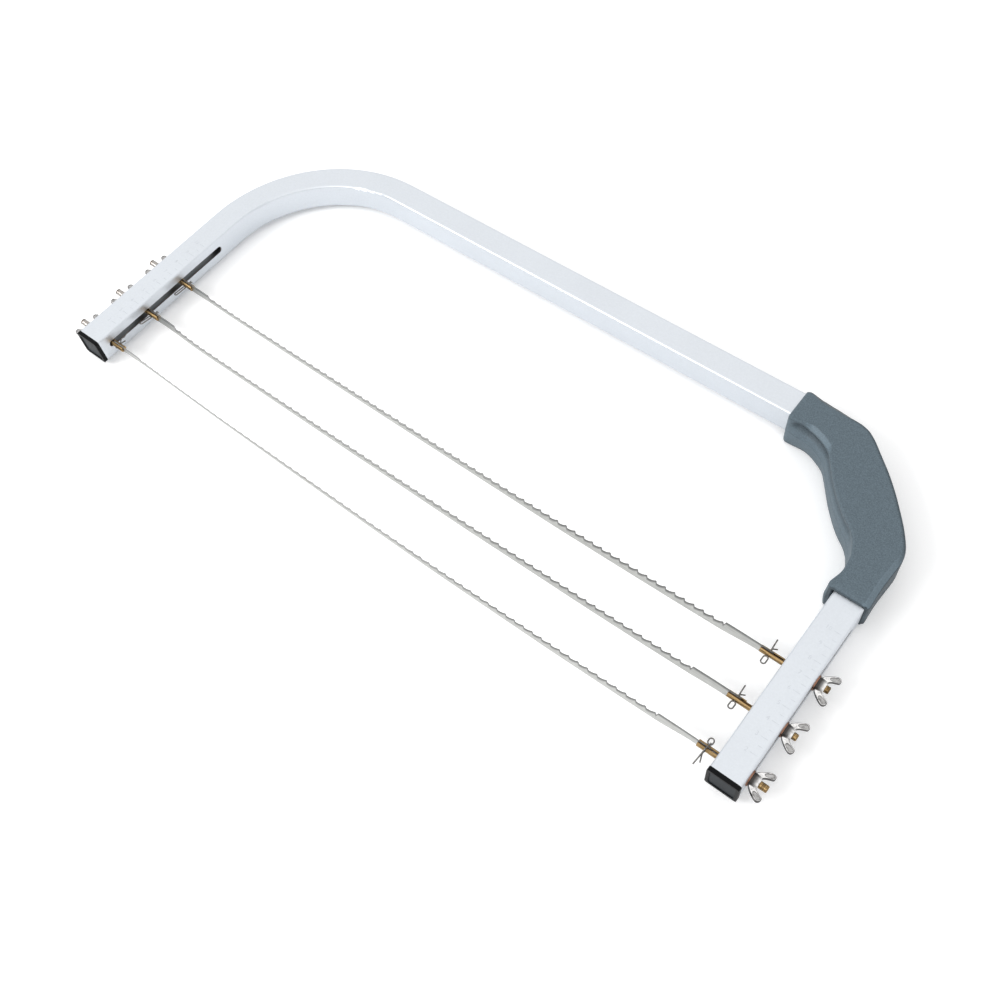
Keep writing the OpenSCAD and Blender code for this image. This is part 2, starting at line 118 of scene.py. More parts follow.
# ------------------------------------------------------------ materials
class Finish:
    """A Principled material that is put together node by node."""

    def __init__(self, name):
        self.material = bpy.data.materials.new(name)
        self.material.use_nodes = True
        self.tree = self.material.node_tree
        self.shader = self.tree.nodes["Principled BSDF"]
        self.coords = self.tree.nodes.new("ShaderNodeTexCoord").outputs["Object"]

    def put(self, kind, **values):
        """Adds a node and sets its properties."""
        node = self.tree.nodes.new(kind)
        for key, value in values.items():
            setattr(node, key, value)
        return node

    def join(self, out, socket):
        self.tree.links.new(out, socket)

    def feed(self, out, name):
        """Joins an output to the shader's input of that name."""
        self.join(out, self.shader.inputs[name])

    def set(self, **values):
        """Sets inputs of the shader, named with underscores for spaces."""
        for key, value in values.items():
            self.shader.inputs[key.replace("_", " ")].default_value = value

    def math(self, operation, a, b=None, clamp=False):
        """One Math node on two values, each a socket or a number."""
        node = self.put("ShaderNodeMath", operation=operation, use_clamp=clamp)
        for socket, value in zip(node.inputs, (a, b)):
            if value is None:
                continue
            if isinstance(value, (int, float)):
                socket.default_value = value
            else:
                self.join(value, socket)
        return node.outputs[0]

    def mapped(self, scale=(1, 1, 1), location=(0, 0, 0)):
        """Object coordinates, scaled and moved."""
        node = self.put("ShaderNodeMapping")
        node.inputs["Scale"].default_value = scale
        node.inputs["Location"].default_value = location
        self.join(self.coords, node.inputs["Vector"])
        return node.outputs[0]

    def parts(self, vector):
        """X, Y and Z of a vector."""
        node = self.put("ShaderNodeSeparateXYZ")
        self.join(vector, node.inputs[0])
        return node.outputs

    def tone(self):
        """How bright the piece is here, as tone() stored it: mostly painted light and shade."""
        return self.put("ShaderNodeAttribute", attribute_name="tone").outputs["Fac"]

    def noise(self, size, detail=3.0, rough=0.55, stretch=(1, 1, 1)):
        """Noise whose blots have a size in metres, stretched along the axes."""
        node = self.put("ShaderNodeTexNoise")
        node.inputs["Scale"].default_value = 1
        node.inputs["Detail"].default_value = detail
        node.inputs["Roughness"].default_value = rough
        self.join(self.mapped([1 / (size * s) for s in stretch]), node.inputs["Vector"])
        return node.outputs["Fac"]

    def ramp(self, value, stops):
        """Colours at places from 0 to 1, blended between them."""
        node = self.put("ShaderNodeValToRGB")
        marks = node.color_ramp.elements
        while len(marks) < len(stops):
            marks.new(0.5)
        for mark, (place, colour) in zip(marks, stops):
            mark.position = place
            mark.color = colour if len(colour) == 4 else (*colour, 1)
        self.join(value, node.inputs["Fac"])
        return node.outputs["Color"]

    def span(self, value, low, high):
        """A value from 0 to 1, spread from low to high."""
        node = self.put("ShaderNodeMapRange")
        node.inputs["To Min"].default_value = low
        node.inputs["To Max"].default_value = high
        self.join(value, node.inputs["Value"])
        return node.outputs["Result"]

    def mix(self, share, a, b):
        """Colour a, with b taking a share of it. Each of the three is a socket or a value."""
        node = self.put("ShaderNodeMix", data_type="RGBA")
        for socket, value in ((node.inputs[0], share), (node.inputs[6], a), (node.inputs[7], b)):
            if hasattr(value, "links"):
                self.join(value, socket)
            else:
                socket.default_value = value
        return node.outputs[2]

    def bump(self, height, distance, strength):
        node = self.put("ShaderNodeBump")
        node.inputs["Strength"].default_value = strength
        node.inputs["Distance"].default_value = distance
        self.join(height, node.inputs["Height"])
        self.feed(node.outputs["Normal"], "Normal")


def shade(colour, share):
    """A colour made darker or lighter by a share."""
    return (*[min(1.0, c * share) for c in colour[:3]], 1)


# the slots' end over the feet, their half width, and the depths at which their cut walls and the tube's
# inside start
SLOT_END, SLOT_HALF, CUT_DEPTH, INSIDE_DEPTH = 0.116, 0.00243, 0.00025, 0.0011
# colour of the slots' cut walls, and the tube's inside painted dark as shade
CUT_WALL, TUBE_INSIDE_SHADE = (0.42, 0.34, 0.31, 1), (0.30, 0.32, 0.335, 1)


def satin_aluminium(colours):
    """Satin anodised tube, dull and dark along the cut walls of the slots, with painted shade on its inside.
    """
    f = Finish("satin_aluminium")
    f.set(Metallic=1.0)
    cloud, speck = f.noise(0.05, detail=2), f.noise(0.0011, detail=4)
    skin = f.ramp(f.math("ADD", f.math("MULTIPLY", cloud, 0.4), f.math("MULTIPLY", speck, 0.6)),
                  [(0.36, shade(colours.aluminium, 0.975)), (0.6, shade(colours.aluminium, 1.02))])
    x, y, z = f.parts(f.coords)
    left = f.math("ABSOLUTE", f.math("SUBTRACT", x, LEFT_FACE + TUBE_SIDE / 2))
    right = f.math("ABSOLUTE", f.math("SUBTRACT", x, RIGHT_FACE - TUBE_SIDE / 2))
    across = f.math("MINIMUM", left, right)
    up = f.math("ABSOLUTE", f.math("SUBTRACT", z, TUBE_MID))
    along = f.math("LESS_THAN", y, FEET + SLOT_END)
    inside = f.math("LESS_THAN", f.math("MAXIMUM", across, up), TUBE_SIDE / 2 - INSIDE_DEPTH)
    cut = f.math("MULTIPLY", f.math("LESS_THAN", up, SLOT_HALF),
                 f.math("LESS_THAN", across, TUBE_SIDE / 2 - CUT_DEPTH))
    walls = f.mix(f.math("MULTIPLY", cut, along), skin, CUT_WALL)
    # the tube's inside, as far as the slots reach, gets painted shade
    f.feed(f.mix(f.math("MULTIPLY", inside, along), walls, TUBE_INSIDE_SHADE), "Base Color")
    grain = f.noise(0.0004, detail=4, rough=0.7)
    f.feed(f.span(grain, 0.36, 0.5), "Roughness")
    f.bump(grain, 0.00002, 0.35)
    return f.material


def grained_grip(colours, sizes):
    """Grip plastic with painted light and shade from its shape, and a speckle from its moulded grain."""
    f = Finish("grained_grip")
    f.set(Specular_IOR_Level=0.2)
    grain = f.noise(sizes.grain, detail=3, rough=0.6)
    # the tone adds painted light and shade to the grain's speckle
    speckle_and_painted_light = f.math("ADD", f.tone(), f.math("SUBTRACT", grain, 0.5), clamp=True)
    f.feed(f.ramp(speckle_and_painted_light, [(0.0, shade(colours.grip, 0.45)), (0.5, tuple(colours.grip)),
                             (1.0, shade(colours.grip, 1.6))]), "Base Color")
    f.feed(f.span(grain, 0.40, 0.56), "Roughness")
    f.bump(grain, 0.00012, 0.55)
    return f.material


# half side of the panel in a cap's face, and its darkest and palest specks
CAP_PANEL_HALF, CAP_DARK, CAP_PALE = 0.0074, (0.012, 0.016, 0.019), (0.024, 0.03, 0.035)


def cap_plastic(colours, name, middle):
    """Black end cap with a paler square panel round the middle of its face."""
    f = Finish(name)
    f.set(Roughness=0.4, Specular_IOR_Level=0.1)
    x, _, z = f.parts(f.mapped(location=(-middle.x, 0, -middle.z)))
    reach = f.math("MAXIMUM", f.math("ABSOLUTE", x), f.math("ABSOLUTE", z))
    panel = f.math("LESS_THAN", reach, CAP_PANEL_HALF)
    speck = f.noise(0.0006, detail=4)
    face = f.ramp(speck, [(0.3, CAP_DARK), (0.75, CAP_PALE)])
    f.feed(f.mix(panel, tuple(colours.cap), face), "Base Color")
    f.bump(speck, 0.00003, 0.4)
    return f.material


STEEL_STAIN, STEEL_SHADOW = (0.33, 0.27, 0.2, 1), (0.1, 0.1, 0.1, 1)


def ground_steel(colours):
    """Blade steel, ground lengthwise, stained in places and dark with painted shade where its tone is low."""
    f = Finish("ground_steel")
    f.set(Metallic=1.0)
    streak = f.noise(0.0006, detail=3, stretch=(14, 1, 1))
    stain = f.noise(0.03, detail=4, rough=0.65, stretch=(1, 0.4, 0.4))
    base = f.ramp(streak, [(0.25, shade(colours.blade, 0.82)), (0.75, shade(colours.blade, 1.15))])
    mask = f.ramp(stain, [(0.66, (0, 0, 0)), (0.76, (0.5, 0.5, 0.5))])
    stained = f.mix(mask, base, STEEL_STAIN)
    # painted shade where the tone is low
    f.feed(f.mix(f.tone(), STEEL_SHADOW, stained), "Base Color")
    f.feed(f.span(streak, 0.26, 0.46), "Roughness")
    f.bump(streak, 0.00002, 0.4)
    return f.material


# half width of a stud's slit, pitch of its thread, and how far past the left arm its dark tip starts
SLIT_HALF, THREAD_PITCH, STUD_TIP = 0.00062, 0.0007, 0.0112
# the tarnish, the painted shade in the thread's valleys, and the slit's painted shadow
TARNISH, THREAD_VALLEY_SHADE, SLIT_SHADOW = (0.2, 0.11, 0.045, 1), (0.09, 0.055, 0.025, 1), (0.05, 0.026, 0.012, 1)
END_SILVER, END_DARK = (0.62, 0.6, 0.585, 1), (0.11, 0.09, 0.08, 1)


def turned_brass(colours, b):
    """Brass with turning marks, tarnish, a slit painted dark as shadow, and a thread outside the arms with
    painted shade in its valleys. Left ends are silver.
    """
    f = Finish(f"turned_brass_{b}")
    f.set(Metallic=1.0)
    x, y, _ = f.parts(f.mapped(location=(0, -BLADE_LINE[b], 0)))
    band = f.noise(0.0011, detail=2, stretch=(1, 30, 30))
    blot = f.noise(0.0025, detail=4)
    within = f.math("MULTIPLY", f.math("LESS_THAN", x, RIGHT_FACE), f.math("GREATER_THAN", x, LEFT_FACE))
    streak = f.noise(0.0008, detail=2, stretch=(16, 1, 1))
    marks = f.mix(within, band, streak)
    base = f.ramp(marks, [(0.36, shade(colours.brass, 0.35)), (0.48, shade(colours.brass, 0.95)),
                          (0.7, shade(colours.brass, 1.25))])
    tarnished = f.mix(f.span(blot, 0.0, 0.3), base, TARNISH)
    tip = f.math("LESS_THAN", x, LEFT_FACE - STUD_TIP)
    end = f.mix(tip, END_SILVER, END_DARK)
    dulled = f.mix(f.math("MULTIPLY", f.math("LESS_THAN", x, LEFT_FACE), 0.9), tarnished, end)
    wave = f.math("SINE", f.math("MULTIPLY", x, 2 * math.pi / THREAD_PITCH))
    thread = f.math("MULTIPLY", wave, f.math("SUBTRACT", 1, within))
    # painted shade in the thread's valleys
    valley = f.math("LESS_THAN", thread, -0.3)
    banded = f.mix(f.math("MULTIPLY", valley, 0.6), dulled, THREAD_VALLEY_SHADE)
    slit = f.math("MULTIPLY", f.math("LESS_THAN", f.math("ABSOLUTE", y), SLIT_HALF), within)
    f.feed(f.mix(f.math("MULTIPLY", slit, 0.85), banded, SLIT_SHADOW), "Base Color")
    f.feed(f.span(blot, 0.2, 0.42), "Roughness")
    f.bump(f.math("ADD", f.math("MULTIPLY", thread, 0.5), band), 0.0001, 0.6)
    return f.material


def drawn_wire(colours):
    """Steel of the split pins."""
    f = Finish("drawn_wire")
    f.set(Metallic=1.0)
    blot = f.noise(0.0016, detail=4)
    f.feed(f.ramp(blot, [(0.3, shade(colours.pin, 0.5)), (0.7, shade(colours.pin, 1.5))]), "Base Color")
    f.feed(f.span(blot, 0.25, 0.45), "Roughness")
    f.bump(blot, 0.00003, 0.3)
    return f.material


NICKEL_SHADOW = (0.05, 0.046, 0.044, 1)


def bright_nickel(colours):
    """Nickel plating with painted shade: dark low on the hub and round the petals' edges, and grey in the
    petals' panels, as their tone says.
    """
    f = Finish("bright_nickel")
    f.set(Metallic=1.0)
    cloud = f.noise(0.0022, detail=4, rough=0.65)
    plate = f.ramp(cloud, [(0.33, shade(colours.nickel, 0.45)), (0.44, shade(colours.nickel, 0.9)),
                           (0.62, shade(colours.nickel, 1.12))])
    # painted shade where the tone is low
    f.feed(f.mix(f.tone(), NICKEL_SHADOW, plate), "Base Color")
    f.feed(f.span(cloud, 0.08, 0.2), "Roughness")
    f.bump(f.noise(0.0012, detail=3), 0.00006, 0.35)
    return f.material


# radius at which a washer's reddish rim starts, and how steeply it comes in, per metre
RIM_START, RIM_RISE, RIM_RED = 0.0040, 3500, (0.36, 0.19, 0.13, 1)


def washer_steel(colours, b):
    """Plated washer that turns reddish towards its rim."""
    f = Finish("washer_steel")
    f.set(Metallic=1.0)
    _, y, z = f.parts(f.mapped(location=(0, -BLADE_LINE[b], -TUBE_MID)))
    away = f.math("SQRT", f.math("ADD", f.math("POWER", y, 2), f.math("POWER", z, 2)))
    rim = f.math("MULTIPLY", f.math("SUBTRACT", away, RIM_START), RIM_RISE, clamp=True)
    f.feed(f.mix(rim, shade(colours.nickel, 0.7), RIM_RED), "Base Color")
    f.feed(f.span(f.noise(0.002), 0.18, 0.36), "Roughness")
    return f.material


def screw_steel():
    """Steel of the grip's screws."""
    f = Finish("screw_steel")
    f.set(Metallic=1.0)
    blot = f.noise(0.001, detail=3)
    f.feed(f.ramp(blot, [(0.3, (0.38, 0.38, 0.39)), (0.7, (0.62, 0.62, 0.63))]), "Base Color")
    f.feed(f.span(blot, 0.22, 0.4), "Roughness")
    f.bump(blot, 0.00002, 0.3)
    return f.material


def marking_ink():
    """Faint uneven grey of the scale's marks."""
    f = Finish("engraved_mark")
    f.set(Metallic=1.0, Roughness=0.5)
    f.feed(f.ramp(f.noise(0.002), [(0.3, (0.64, 0.67, 0.71)), (0.7, (0.75, 0.785, 0.83))]), "Base Color")
    return f.material


# ------------------------------------------------------------ helpers
def start_clean():
    """Leaves edit mode and deselects everything."""
    if bpy.context.object and bpy.context.object.mode != "OBJECT":
        bpy.ops.object.mode_set(mode="OBJECT")
    bpy.ops.object.select_all(action="DESELECT")


def pick(*pieces):
    """Selects these pieces alone and makes the first one active."""
    start_clean()
    for piece in pieces:
        piece.select_set(True)
    bpy.context.view_layer.objects.active = pieces[0]


def bring_in(name, data):
    """Links new data to the scene as the one object that is selected."""
    piece = bpy.data.objects.new(name, data)
    bpy.context.scene.collection.objects.link(piece)
    pick(piece)
    return piece


def loft(name, rings, closed=False, smooth=25):
    """One closed skin through a row of rings of points, with its ends filled or, where closed, joined."""
    bm = bmesh.new()
    rows = [[bm.verts.new(point) for point in ring] for ring in rings]
    pairs = list(zip(rows, rows[1:]))
    if closed:
        pairs.append((rows[-1], rows[0]))
    else:
        bm.faces.new(rows[0])
        bm.faces.new(rows[-1][::-1])
    for one, two in pairs:
        for k in range(len(one)):
            m = (k + 1) % len(one)
            bm.faces.new((one[k], two[k], two[m], one[m]))
    bmesh.ops.recalc_face_normals(bm, faces=bm.faces)
    mesh = bpy.data.meshes.new(name)
    bm.to_mesh(mesh)
    bm.free()
    piece = bring_in(name, mesh)
    bpy.ops.object.shade_smooth_by_angle(angle=math.radians(smooth))
    return piece


def cut_out(piece, cutter):
    """Cuts a solid out of a piece, and removes the solid."""
    pick(piece)
    step = piece.modifiers.new("cut_out", "BOOLEAN")
    step.operation = "DIFFERENCE"
    step.object = cutter
    step.solver = "EXACT"
    bpy.ops.object.modifier_apply(modifier=step.name)
    bpy.data.objects.remove(cutter)


def tone(piece, values):
    """Stores how bright a piece is at each of its points, from 0 to 1: mostly painted light and shade."""
    layer = piece.data.color_attributes.new("tone", "FLOAT_COLOR", "POINT")
    for entry, value in zip(layer.data, values):
        entry.color = (value, value, value, 1)


def dress(node, material):
    """Gives a CAD node its finish."""
    slots = frame["nodes"][node].data.materials
    slots.clear()
    slots.append(material)


def settle(name, material, body, stands_for=()):
    """Ends the active object's making: names it, bakes its place into its mesh, and lets it ride."""
    piece = bpy.context.object
    piece.name = piece.data.name = name
    bpy.ops.object.transform_apply(location=True, rotation=True, scale=True)
    piece.data.materials.clear()
    piece.data.materials.append(material)
    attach(piece, body)
    if stands_for:
        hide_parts(*stands_for)


def lookup(table, at, column=1):
    """A table's value, straight between its rows."""
    if at <= table[0][0]:
        return table[0][column]
    for one, two in zip(table, table[1:]):
        if at <= two[0]:
            return one[column] + (two[column] - one[column]) * (at - one[0]) / (two[0] - one[0])
    return table[-1][column]


def rounded_lookup(table, at, column, spread):
    """A table's value with the corners at its rows rounded off: the mean of seven, a spread apart."""
    steps = range(-3, 4)
    return sum(lookup(table, at + spread * k, column) for k in steps) / len(steps)


# ------------------------------------------------------------ tube, scale and caps
class LEVELER_OT_tube(bpy.types.Operator):
    """Finishes the bent aluminium tube"""
    bl_idname = "leveler.tube"
    bl_label = "Tube"

    def execute(self, context):
        dress("frame_tube", satin_aluminium(context.scene.leveler_colours))
        return {"FINISHED"}


# the marks: inset from the arm's edge, lift over the tube, width of a tick, height of a number, and space
# between a number and its tick
MARK_INSET, MARK_LIFT, TICK_WIDTH, NUMBER_SIZE, NUMBER_SPACE = 0.0022, 0.00002, 0.00035, 0.0036, 0.0012
# half centimetres over the feet that have a tick, and a short tick's share of a long one's length
HALF_STEPS, SHORT_TICK = range(4, 21), 0.6


class LEVELER_OT_scale(bpy.types.Operator):
    """Engraves a generic centimetre scale on the top of both arms"""
    bl_idname = "leveler.scale"
    bl_label = "Scale marks"

    def execute(self, context):
        sizes = context.scene.leveler_sizes
        ink = marking_ink()
        height = TUBE_TOP + MARK_LIFT
        for side in SIDES:
            start_clean()
            arm = LEFT_FACE if side == "left" else RIGHT_FACE - TUBE_SIDE
            near = arm + TUBE_SIDE - MARK_INSET
            marks = []
            for i in HALF_STEPS:
                y = FEET + 0.5 * i * sizes.tick_pitch
                numbered = i % 2 == 0
                length = sizes.tick_length * (1 if numbered else SHORT_TICK)
                bpy.ops.mesh.primitive_plane_add(size=1, location=(near - length / 2, y, height))
                bpy.ops.transform.resize(value=(length, TICK_WIDTH, 1))
                marks.append(context.object)
                if numbered:
                    bpy.ops.object.text_add(location=(near - length - NUMBER_SPACE, y, height))
                    number = context.object.data
                    number.body = str(i // 2)
                    number.size = NUMBER_SIZE
                    number.align_x = "RIGHT"
                    number.align_y = "CENTER"
                    number.resolution_u = 2
                    bpy.ops.object.convert(target="MESH")
                    marks.append(context.object)
            pick(*marks)
            bpy.ops.object.join()
            settle(f"scale_{side}", ink, "frame")
        return {"FINISHED"}


class LEVELER_OT_caps(bpy.types.Operator):
    """Finishes the end caps, each with a paler panel in its face"""
    bl_idname = "leveler.caps"
    bl_label = "End caps"

    def execute(self, context):
        for side in SIDES:
            low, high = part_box(f"{side}_end_cap")
            dress(f"{side}_end_cap",
                  cap_plastic(context.scene.leveler_colours, f"cap_{side}", (low + high) / 2))
        return {"FINISHED"}


# ------------------------------------------------------------ grip
# tube's centre line under the grip, in mm from the left face and the feet: the bends' radius and middles, and
# the straight runs along the back, across the corner and down the arm
BEND_R, BEND_1, BEND_2 = 45, Vector((413.3604, 168)), Vector((442, 139.3604))
BACK_RUN, DIAGONAL, ARM_RUN = 12, 40.5025, 19.5
BEND_ARC = BEND_R * math.pi / 4
GRIP_LEN = BACK_RUN + 2 * BEND_ARC + DIAGONAL + ARM_RUN

# share of the grip's length, then walls in mm past the tube's half side: outer side, finger side at the
# parting line, finger side under the upper panel, finger side over the lower panel
WALLS = ((0.000, 0.6, 5.0, 4.6, 5.2), (0.030, 0.6, 5.9, 4.4, 5.1), (0.074, 0.6, 6.3, 3.6, 4.7),
         (0.105, 0.6, 6.5, 3.9, 4.5), (0.163, 0.7, 6.8, 4.4, 5.0), (0.200, 1.6, 7.0, 4.7, 5.4),
         (0.222, 2.6, 7.0, 4.8, 5.5), (0.251, 3.9, 7.0, 4.9, 5.5), (0.274, 4.2, 7.0, 5.1, 5.5),
         (0.300, 4.0, 7.2, 5.4, 5.6), (0.351, 4.3, 7.9, 6.4, 6.3), (0.411, 4.9, 8.8, 7.6, 7.4),
         (0.450, 5.1, 9.1, 8.2, 8.1), (0.501, 5.1, 9.4, 8.7, 8.5), (0.553, 4.8, 9.5, 8.7, 8.7),
         (0.600, 4.2, 9.1, 8.3, 8.3), (0.648, 3.7, 8.2, 7.4, 7.3), (0.704, 4.1, 7.0, 6.0, 5.9),
         (0.744, 5.0, 5.9, 5.2, 5.0), (0.770, 4.9, 5.3, 4.7, 4.6), (0.790, 4.1, 4.8, 4.3, 4.2),
         (0.810, 2.9, 4.2, 3.8, 3.7), (0.855, 1.8, 3.1, 2.8, 2.8), (0.896, 1.7, 2.4, 2.2, 2.2),
         (0.913, 1.7, 2.5, 1.9, 2.0), (0.947, 1.9, 3.7, 2.8, 2.8), (0.976, 2.2, 5.2, 4.3, 4.3),
         (1.000, 2.2, 5.3, 4.6, 4.6))
# share of the length, size of the panel's edge there, and how far a slant takes the place of its rounding
FINGER_EDGE = ((0.07, 1.5, 0), (0.11, 2.9, 1), (0.26, 2.9, 1), (0.31, 1.5, 0))
OUTER_EDGE = ((0.0, 1.5, 0.5), (0.025, 1.6, 1), (0.07, 3.4, 1), (0.114, 4.0, 1), (0.172, 3.0, 1),
              (0.222, 1.8, 0.3), (0.26, 1.6, 0), (0.74, 1.6, 0), (0.80, 3.0, 1), (1.0, 3.0, 1))
# size of the lower panel's finger edge
LOWER_EDGE = 1.5
# share of the length, and depth of the groove under the upper panel's finger edge
GROOVE = ((0.02, 0), (0.05, 2.2), (0.12, 2.4), (0.25, 2.2), (0.32, 1.0), (0.65, 0.9), (0.76, 0))

# in mm: half the grip's thickness, rounding of its ends, depth of its mouths' funnels and their widest gap
GRIP_HALF, END_ROUND, FUNNEL, MOUTH_GAP = 12.5, 2.4, 4.0, 1.5
# in mm: clearance round the tube, and the least that it leaves of the outer wall; chamfers along the parting
# line and the core; flat strip of a panel beside its edges
CORE_CLEAR, OUTER_LEAST, PARTING, CORE_CHAMFER, PANEL_RIM = 0.03, 0.3, 0.15, 0.6, 0.7
# share of the finger side's height where the groove starts, and how early the upper and the lower finger side
# reach the panel's wall: the lower the power, the earlier
GROOVE_FROM, UPPER_BEND, LOWER_BEND = 0.35, 0.7, 2.2
# share of the outer side's height where its painted shade is deepest
SHADE_UP = 0.4
# in mm: the least that a funnel leaves of the outer wall, the finger wall and the panel
FUNNEL_LEAST = (0.25, 0.6, 0.8)
# share of the length that rounds the corners of WALLS
WALL_SPREAD = 0.007
# stations in mm from each end, steps between them, and steps up the finger side and round an edge
END_STATIONS = (0, 0.1, 0.35, 0.8, 1.5, END_ROUND, 3.2, FUNNEL)
GRIP_STEPS, FINGER_STEPS, EDGE_STEPS = 110, 10, 5


def wall(share, column):
    """Distance of a wall of the grip from the tube's centre line, in mm."""
    return TUBE_SIDE / 2 / MM + rounded_lookup(WALLS, share, column, WALL_SPREAD)


def centre_line(along):
    """Point of the tube's centre line at a length under the grip, and its outward angle."""
    first = along - BACK_RUN
    flat = first - BEND_ARC
    second = flat - DIAGONAL
    last = second - BEND_ARC
    if first < 0:
        return Vector((BEND_1.x + first, BEND_1.y + BEND_R)), math.pi / 2
    if flat < 0:
        turn = math.pi / 2 - first / BEND_R
        return BEND_1 + BEND_R * Vector((math.cos(turn), math.sin(turn))), turn
    if second < 0:
        turn = math.pi / 4
        out = Vector((math.cos(turn), math.sin(turn)))
        return BEND_1 + BEND_R * out + flat * Vector((out.y, -out.x)), turn
    if last < 0:
        turn = math.pi / 4 - second / BEND_R
        return BEND_2 + BEND_R * Vector((math.cos(turn), math.sin(turn))), turn
    return Vector((BEND_2.x + BEND_R, BEND_2.y - last)), 0.0


def edge_points(x, z, size, flat, side):
    """An edge of a section from its wall (x, z - size) to its panel, rounded or, where flat, slanted."""
    points = []
    for k in range(EDGE_STEPS + 1):
        turn = math.pi / 2 * k / EDGE_STEPS
        round_x, round_z = x - side * size * (1 - math.cos(turn)), z - size * (1 - math.sin(turn))
        slant_x, slant_z = x - side * size * k / EDGE_STEPS, z - size * (1 - k / EDGE_STEPS)
        points.append((round_x + (slant_x - round_x) * flat, round_z + (slant_z - round_z) * flat))
    return points


def grip_section(share, tuck, gap, upper):
    """Half of the grip's section round the tube's core: (outward, up) points in mm, and their tones of
    painted light and shade, where 0.5 is the plastic's own colour. Its ends are smaller by a tuck, and its
    mouths have a gap."""
    core = TUBE_SIDE / 2 / MM + CORE_CLEAR
    out = max(wall(share, 1) - tuck, core + OUTER_LEAST)
    mid = wall(share, 2) - tuck
    top = wall(share, 3 if upper else 4) - tuck
    high = GRIP_HALF - tuck
    outer, outer_flat = lookup(OUTER_EDGE, share), lookup(OUTER_EDGE, share, 2)
    if upper:
        finger, finger_flat = lookup(FINGER_EDGE, share), lookup(FINGER_EDGE, share, 2)
        groove, bend = lookup(GROOVE, share), UPPER_BEND
    else:
        finger, finger_flat, groove, bend = LOWER_EDGE, 0, 0, LOWER_BEND

    # up the finger side, over the panel and down the outer side, with painted shade in the groove, round the
    # outer edge and on the outer side, and painted light on the finger side and its slanted edge
    points, tones = [(-mid + PARTING, 0)], [0.15]
    for k in range(FINGER_STEPS):
        part = k / FINGER_STEPS
        hollow = math.sin(math.pi * max(0, part - GROOVE_FROM) / (1 - GROOVE_FROM)) ** 2
        points.append((-mid - (top - mid) * part ** bend + groove * hollow,
                       max(PARTING, (high - finger) * part)))
        tones.append(0.6 - 0.34 * min(1.4, groove) * hollow)
    points += edge_points(-top, high, finger, finger_flat, -1)
    tones += [0.3] + [0.5 + 0.32 * finger_flat] * 4 + [0.45]
    points += [(-top + finger + PANEL_RIM, high), (out - outer - PANEL_RIM, high)]
    tones += [0.5, 0.5]
    points += edge_points(out, high, outer, outer_flat, 1)[::-1]
    # the outer edge's slant gets a painted highlight on the arm's half
    painted_highlight = outer_flat if share > 0.5 else 0
    tones += [0.35 + 0.45 * painted_highlight, 0.2 + 0.6 * painted_highlight, 0.1 + 0.7 * painted_highlight, 0.05 + 0.75 * painted_highlight,
              0.8 * painted_highlight, 0.05]
    points += [(out, high * SHADE_UP), (out, PARTING), (out - PARTING, 0)]
    tones += [0.1, 0.35, 0.15]

    # back round the core, painted dark as shade
    side_out, side_in, roof = (min(core + gap, limit - least)
                               for limit, least in zip((out, top, high), FUNNEL_LEAST))
    points += [(side_out, 0), (side_out, roof - CORE_CHAMFER), (side_out - CORE_CHAMFER, roof),
               (-side_in + CORE_CHAMFER, roof), (-side_in, roof - CORE_CHAMFER), (-side_in, 0)]
    tones += [0.05] * 6
    return points, tones


def grip_rings(upper):
    """Rings along the grip, close together at its rounded ends and its funnel-shaped mouths."""
    inner = [FUNNEL + (GRIP_LEN - 2 * FUNNEL) * k / GRIP_STEPS for k in range(1, GRIP_STEPS)]
    rings, tones = [], []
    for along in [*END_STATIONS, *inner, *(GRIP_LEN - e for e in reversed(END_STATIONS))]:
        depth = min(along, GRIP_LEN - along)
        short = max(0, END_ROUND - depth)
        tuck = END_ROUND - math.sqrt(END_ROUND ** 2 - short ** 2)
        gap = MOUTH_GAP * max(0, 1 - depth / FUNNEL) ** 1.5
        points, brightness = grip_section(along / GRIP_LEN, tuck, gap, upper)
        # the end faces are painted dark as shade
        tones += brightness if depth > 0.2 else [0.12] * len(brightness)
        point, turn = centre_line(along)
        rings.append([(LEFT_FACE + MM * (point.x + off * math.cos(turn)),
                       FEET + MM * (point.y + off * math.sin(turn)),
                       TUBE_MID + MM * (up if upper else -up)) for off, up in points])
    return rings, tones


# a recess's radius, length and middle height, and how far a screw's points lie from its middle at most
RECESS_R, RECESS_LENGTH, RECESS_Z, SCREW_REACH = 0.0027, 0.012, -0.002, 0.006


def open_recesses(shell):
    """Cuts the screws' recesses in the lower shell, round the screws that the CAD part holds."""
    screws = frame["nodes"]["grip_screws"]
    heaps = []
    for vertex in screws.data.vertices:
        spot = screws.matrix_world @ vertex.co
        near = [heap for heap in heaps if (heap[0].xy / heap[1] - spot.xy).length < SCREW_REACH]
        if near:
            near[0][0] += spot
            near[0][1] += 1
        else:
            heaps.append([spot.copy(), 1])
    for total, count in heaps:
        start_clean()
        bpy.ops.mesh.primitive_cylinder_add(vertices=40, radius=RECESS_R, depth=RECESS_LENGTH,
                                            location=(total.x / count, total.y / count, RECESS_Z))
        cut_out(shell, bpy.context.object)


class LEVELER_OT_grip(bpy.types.Operator):
    """Makes the two moulded grip shells and finishes their screws"""
    bl_idname = "leveler.grip"
    bl_label = "Grip"

    def execute(self, context):
        plastic = grained_grip(context.scene.leveler_colours, context.scene.leveler_sizes)
        for upper, name, node in ((True, "grip_upper", "front_grip_shell"),
                                  (False, "grip_lower", "back_grip_shell")):
            rings, tones = grip_rings(upper)
            shell = loft(name, rings, smooth=22)
            tone(shell, tones)
            if not upper:
                open_recesses(shell)
            settle(name, plastic, "frame", [node])
        dress("grip_screws", screw_steel())
        return {"FINISHED"}


